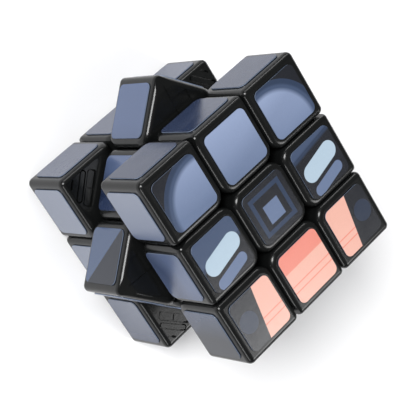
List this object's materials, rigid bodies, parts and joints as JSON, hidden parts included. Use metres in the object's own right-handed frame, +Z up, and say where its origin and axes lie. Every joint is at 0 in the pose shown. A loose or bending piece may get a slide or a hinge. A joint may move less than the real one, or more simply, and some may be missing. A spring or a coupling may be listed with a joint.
{
  "type": "twist puzzle cube",
  "caption": "Cube-shaped twist puzzle with printed picture tiles on glossy black blocks, its middle layer part of the way through a turn.",
  "frame": {"origin": "centre of the bottom face, on the surface that the cube stands on", "axes": "+Z up along the turning axis of the layers, towards the picture face; +X towards the east side and +Y towards the north side of the top and bottom layers, which is the picture's top edge"},
  "size_m": [0.0782, 0.0782, 0.057],
  "materials": {
    "black_plastic": "gloss",
    "foot_plastic": "satin",
    "core_plastic": "satin",
    "screw_steel": "machined",
    "spring_steel": "drawn wire",
    "printed_tile": "printed, gloss"
  },
  "bodies": {
    "core_and_middle_layer": {"core": "core_plastic", "centre_screws": "screw_steel", "centre_washers": "screw_steel", "top_spring": "spring_steel", "bottom_spring": "spring_steel", "east_spring": "spring_steel", "north_spring": "spring_steel", "west_spring": "spring_steel", "south_spring": "spring_steel", "middle_edge_ne": "black_plastic", "middle_edge_nw": "black_plastic", "middle_edge_sw": "black_plastic", "middle_edge_se": "black_plastic", "middle_edge_feet": "foot_plastic", "middle_side_tiles": "printed_tile"},
    "top_layer": {"top_corner_ne": "black_plastic", "top_corner_nw": "black_plastic", "top_corner_sw": "black_plastic", "top_corner_se": "black_plastic", "top_edge_n": "black_plastic", "top_edge_w": "black_plastic", "top_edge_s": "black_plastic", "top_edge_e": "black_plastic", "top_corner_feet": "foot_plastic", "top_edge_feet": "foot_plastic", "top_face_tiles": "printed_tile", "top_side_tiles": "printed_tile"},
    "bottom_layer": {"bottom_corner_ne": "black_plastic", "bottom_corner_nw": "black_plastic", "bottom_corner_sw": "black_plastic", "bottom_corner_se": "black_plastic", "bottom_edge_n": "black_plastic", "bottom_edge_w": "black_plastic", "bottom_edge_s": "black_plastic", "bottom_edge_e": "black_plastic", "bottom_corner_feet": "foot_plastic", "bottom_edge_feet": "foot_plastic", "bottom_face_tiles": "printed_tile", "bottom_side_tiles": "printed_tile"},
    "top_centre": {"top_centre_block": "black_plastic", "top_centre_cap": "black_plastic", "top_centre_tile": "printed_tile"},
    "bottom_centre": {"bottom_centre_block": "black_plastic", "bottom_centre_cap": "black_plastic", "bottom_centre_tile": "printed_tile"},
    "east_centre": {"east_centre_block": "black_plastic", "east_centre_cap": "black_plastic", "east_centre_tile": "printed_tile"},
    "north_centre": {"north_centre_block": "black_plastic", "north_centre_cap": "black_plastic", "north_centre_tile": "printed_tile"},
    "west_centre": {"west_centre_block": "black_plastic", "west_centre_cap": "black_plastic", "west_centre_tile": "printed_tile"},
    "south_centre": {"south_centre_block": "black_plastic", "south_centre_cap": "black_plastic", "south_centre_tile": "printed_tile"}
  },
  "joints": [
    {"name": "top_layer_turn", "type": "hinge", "parent": "core_and_middle_layer", "child": "top_layer", "pos_m": [0, 0, 0.0285], "axis": [0, 0, 1], "continuous": true},
    {"name": "bottom_layer_turn", "type": "hinge", "parent": "core_and_middle_layer", "child": "bottom_layer", "pos_m": [0, 0, 0.0285], "axis": [0, 0, -1], "continuous": true},
    {"name": "top_centre_spring_travel", "type": "slide", "parent": "top_layer", "child": "top_centre", "axis": [0, 0, 1], "range_m": [0, 0.0007], "stiffness_N_per_m": 400, "springref_m": -0.003, "deforming": ["top_spring"]},
    {"name": "bottom_centre_spring_travel", "type": "slide", "parent": "bottom_layer", "child": "bottom_centre", "axis": [0, 0, -1], "range_m": [0, 0.0007], "stiffness_N_per_m": 400, "springref_m": -0.003, "deforming": ["bottom_spring"]},
    {"name": "east_centre_spring_travel", "type": "slide", "parent": "core_and_middle_layer", "child": "east_centre", "axis": [0.749, 0.6626, 0], "range_m": [0, 0.0007], "stiffness_N_per_m": 400, "springref_m": -0.003, "deforming": ["east_spring"]},
    {"name": "north_centre_spring_travel", "type": "slide", "parent": "core_and_middle_layer", "child": "north_centre", "axis": [-0.6626, 0.749, 0], "range_m": [0, 0.0007], "stiffness_N_per_m": 400, "springref_m": -0.003, "deforming": ["north_spring"]},
    {"name": "west_centre_spring_travel", "type": "slide", "parent": "core_and_middle_layer", "child": "west_centre", "axis": [-0.749, -0.6626, 0], "range_m": [0, 0.0007], "stiffness_N_per_m": 400, "springref_m": -0.003, "deforming": ["west_spring"]},
    {"name": "south_centre_spring_travel", "type": "slide", "parent": "core_and_middle_layer", "child": "south_centre", "axis": [0.6626, -0.749, 0], "range_m": [0, 0.0007], "stiffness_N_per_m": 400, "springref_m": -0.003, "deforming": ["south_spring"]}
  ]
}
